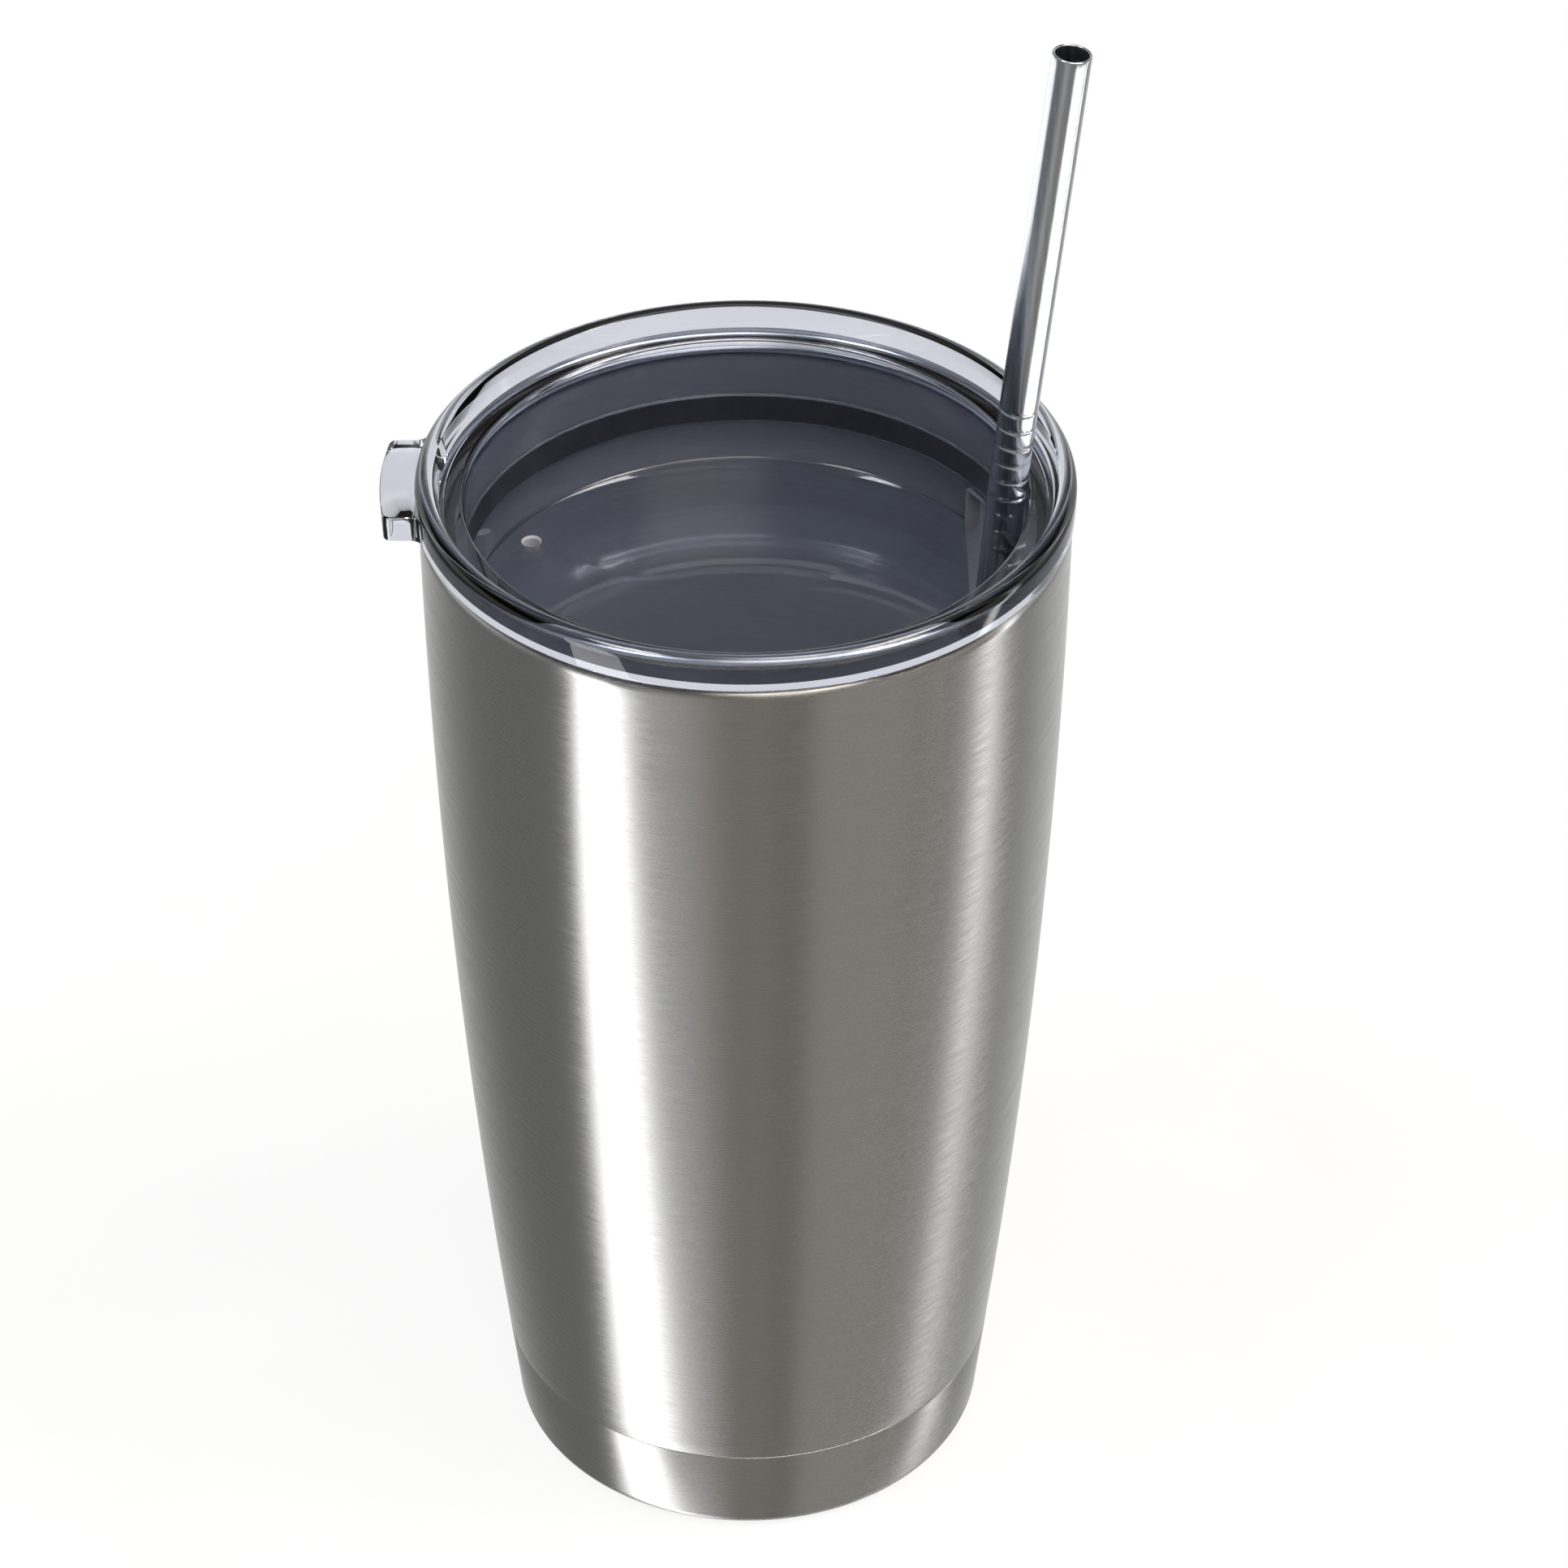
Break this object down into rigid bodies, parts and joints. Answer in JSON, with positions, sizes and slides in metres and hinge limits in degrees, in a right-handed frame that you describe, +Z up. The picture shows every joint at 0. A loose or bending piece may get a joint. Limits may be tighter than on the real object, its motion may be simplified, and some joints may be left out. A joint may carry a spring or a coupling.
{
  "type": "insulated tumbler with lid",
  "caption": "Double-wall vacuum tumbler with a clear press-in lid, side tab, sunken drinking well and a bent metal straw.",
  "frame": {"origin": "centre of the base, on the surface the tumbler stands on", "axes": "+Z up along the body's axis, -X towards the lid's tab, +X towards the drinking mouth and the straw"},
  "size_m": [0.0945, 0.0898, 0.2286],
  "materials": {
    "brushed_steel": "fine brushing round the body",
    "liner_steel": "satin, electropolished",
    "copper_foil": "thin bright copper foil",
    "getter_metal": "pressed metal powder",
    "solder": "dull solder",
    "clear_plastic": "clear, polished",
    "silicone": "smooth grey silicone",
    "polished_steel": "polished tube"
  },
  "bodies": {
    "tumbler": {"outer_shell": "brushed_steel", "inner_liner": "liner_steel", "inner_bottom": "liner_steel", "heat_foil": "copper_foil", "vacuum_bottom": "liner_steel", "getter": "getter_metal", "getter_clip": "liner_steel", "seal_bead": "solder", "base_cap": "brushed_steel"},
    "seal_ring": {"lid_gasket": "silicone"},
    "lid": {"lid": "clear_plastic"},
    "straw": {"straw": "polished_steel"}
  },
  "joints": [
    {"name": "lid_lift", "type": "slide", "parent": "tumbler", "child": "seal_ring", "axis": [0, 0, 1], "range_m": [0, 0.06]},
    {"name": "lid_turn", "type": "hinge", "parent": "seal_ring", "child": "lid", "pos_m": [0, 0, 0.1495], "axis": [0, 0, 1], "continuous": true},
    {"name": "straw_slide", "type": "slide", "parent": "lid", "child": "straw", "axis": [0.0718, 0, 0.9974], "range_m": [0, 0.12]}
  ]
}
